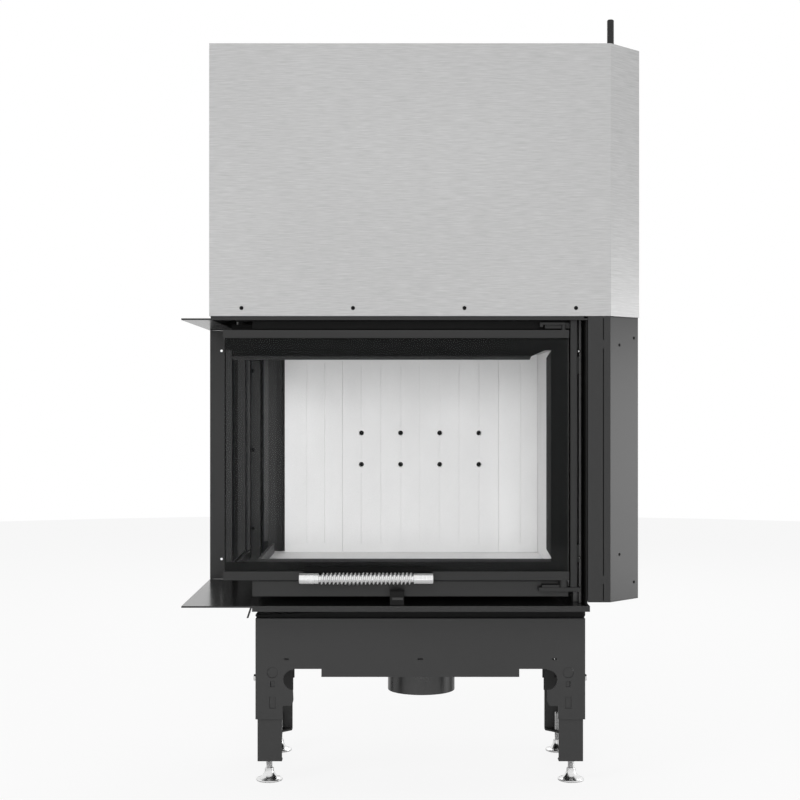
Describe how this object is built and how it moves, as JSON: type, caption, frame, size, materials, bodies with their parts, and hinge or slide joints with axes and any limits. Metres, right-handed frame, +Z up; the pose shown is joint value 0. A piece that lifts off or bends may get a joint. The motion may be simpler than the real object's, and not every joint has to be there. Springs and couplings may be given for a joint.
{
  "type": "fireplace insert",
  "caption": "Left-corner wood fireplace insert with an L-shaped glass door that lifts into a brushed hood on a counterweight and also swings open, on a levelling base",
  "frame": {"origin": "middle of the footprint at floor level, under the middle of the bounding box", "axes": "+X to the viewer's right seen from the front, +Y to the back, +Z up"},
  "size_m": [0.807, 0.4758, 1.357],
  "materials": {
    "black_paint": "matt heat-resistant black",
    "grey_paint": "matt graphite",
    "brushed_hood": "horizontally brushed, light grey",
    "stainless": "polished stainless",
    "zinc": "bright zinc plate",
    "dark_iron": "dark oiled",
    "fire_ceramic": "matt pale refractory",
    "clear_glass": "clear ceramic glass"
  },
  "bodies": {
    "frame": {"air_box": "black_paint", "bottom_plate": "black_paint", "top_frame": "black_paint", "firebox_shell": "black_paint", "opening_frame": "black_paint", "log_retainer": "black_paint", "front_upper_panel": "black_paint", "smoke_dome": "black_paint", "flue_collar": "black_paint", "rear_panel": "black_paint", "door_post": "black_paint", "base_front_panel": "grey_paint", "base_rear_panel": "grey_paint", "base_left_rail": "grey_paint", "base_right_rail": "grey_paint", "air_inlet_spigot": "grey_paint", "left_rear_column": "grey_paint", "lining_clip_strip": "grey_paint", "front_lower_panel": "grey_paint", "right_column_casing": "grey_paint", "pulley_bracket": "grey_paint", "hood_casing": "brushed_hood", "guide_rail_right": "zinc", "guide_rail_left": "zinc", "lift_cable_bend": "zinc", "lift_cable_door_side": "zinc", "lift_cable_weight_side": "zinc", "counterweight_guide_rod": "dark_iron", "lining_back_left": "fire_ceramic", "lining_back_centre": "fire_ceramic", "lining_back_right": "fire_ceramic", "lining_right": "fire_ceramic", "lining_floor": "fire_ceramic", "baffle_plate": "fire_ceramic"},
    "carriage": {"carriage_upright": "grey_paint", "hinge_arm_lower": "black_paint", "hinge_bracket_upper": "black_paint", "carriage_beam": "grey_paint", "carriage_runner": "black_paint"},
    "leaf": {"door_top_bar": "black_paint", "door_bottom_bar": "black_paint", "door_right_stile": "black_paint", "door_rear_stile": "black_paint", "door_front_glass": "clear_glass", "door_side_glass": "clear_glass", "handle_bar": "stainless", "handle_coil": "stainless", "handle_bracket": "black_paint"},
    "counterweight": {"counterweight": "dark_iron"},
    "pulley": {"lift_pulley": "zinc"},
    "air_control": {"air_lever": "black_paint"},
    "leg_front_left": {"lower_leg_front_left": "grey_paint"},
    "foot_front_left": {"foot_front_left": "zinc"},
    "leg_front_right": {"lower_leg_front_right": "grey_paint"},
    "foot_front_right": {"foot_front_right": "zinc"},
    "leg_rear_right": {"lower_leg_rear_right": "grey_paint"},
    "foot_rear_right": {"foot_rear_right": "zinc"},
    "leg_rear_left": {"lower_leg_rear_left": "grey_paint"},
    "foot_rear_left": {"foot_rear_left": "zinc"}
  },
  "joints": [
    {"name": "door_lift", "type": "slide", "parent": "frame", "child": "carriage", "axis": [0, 0, 1], "range_m": [0, 0.428], "deforming": ["lift_cable_door_side"]},
    {"name": "door_swing", "type": "hinge", "parent": "carriage", "child": "leaf", "pos_m": [0.264, -0.18805, 0.58], "axis": [0, 0, -1], "range_deg": [-90, 0]},
    {"name": "counterweight_slide", "type": "slide", "parent": "frame", "child": "counterweight", "axis": [0, 0, 1], "range_m": [-0.428, 0], "deforming": ["lift_cable_weight_side"]},
    {"name": "pulley_spin", "type": "hinge", "parent": "frame", "child": "pulley", "pos_m": [0.3141, -0.16405, 1.25], "axis": [0, 1, 0], "range_deg": [0, 745]},
    {"name": "air_control_slide", "type": "slide", "parent": "frame", "child": "air_control", "axis": [1, 0, 0], "range_m": [-0.04, 0.04]},
    {"name": "leg_height_front_left", "type": "slide", "parent": "frame", "child": "leg_front_left", "axis": [0, 0, -1], "range_m": [-0.04, 0.05]},
    {"name": "foot_level_front_left", "type": "slide", "parent": "leg_front_left", "child": "foot_front_left", "axis": [0, 0, -1], "range_m": [-0.005, 0.02]},
    {"name": "leg_height_front_right", "type": "slide", "parent": "frame", "child": "leg_front_right", "axis": [0, 0, -1], "range_m": [-0.04, 0.05]},
    {"name": "foot_level_front_right", "type": "slide", "parent": "leg_front_right", "child": "foot_front_right", "axis": [0, 0, -1], "range_m": [-0.005, 0.02]},
    {"name": "leg_height_rear_right", "type": "slide", "parent": "frame", "child": "leg_rear_right", "axis": [0, 0, -1], "range_m": [-0.04, 0.05]},
    {"name": "foot_level_rear_right", "type": "slide", "parent": "leg_rear_right", "child": "foot_rear_right", "axis": [0, 0, -1], "range_m": [-0.005, 0.02]},
    {"name": "leg_height_rear_left", "type": "slide", "parent": "frame", "child": "leg_rear_left", "axis": [0, 0, -1], "range_m": [-0.04, 0.05]},
    {"name": "foot_level_rear_left", "type": "slide", "parent": "leg_rear_left", "child": "foot_rear_left", "axis": [0, 0, -1], "range_m": [-0.005, 0.02]}
  ],
  "couplings": [
    {"joint": "counterweight_slide", "follows": "door_lift", "ratio": -1},
    {"joint": "pulley_spin", "follows": "door_lift", "rad_per_m": 30.303}
  ]
}
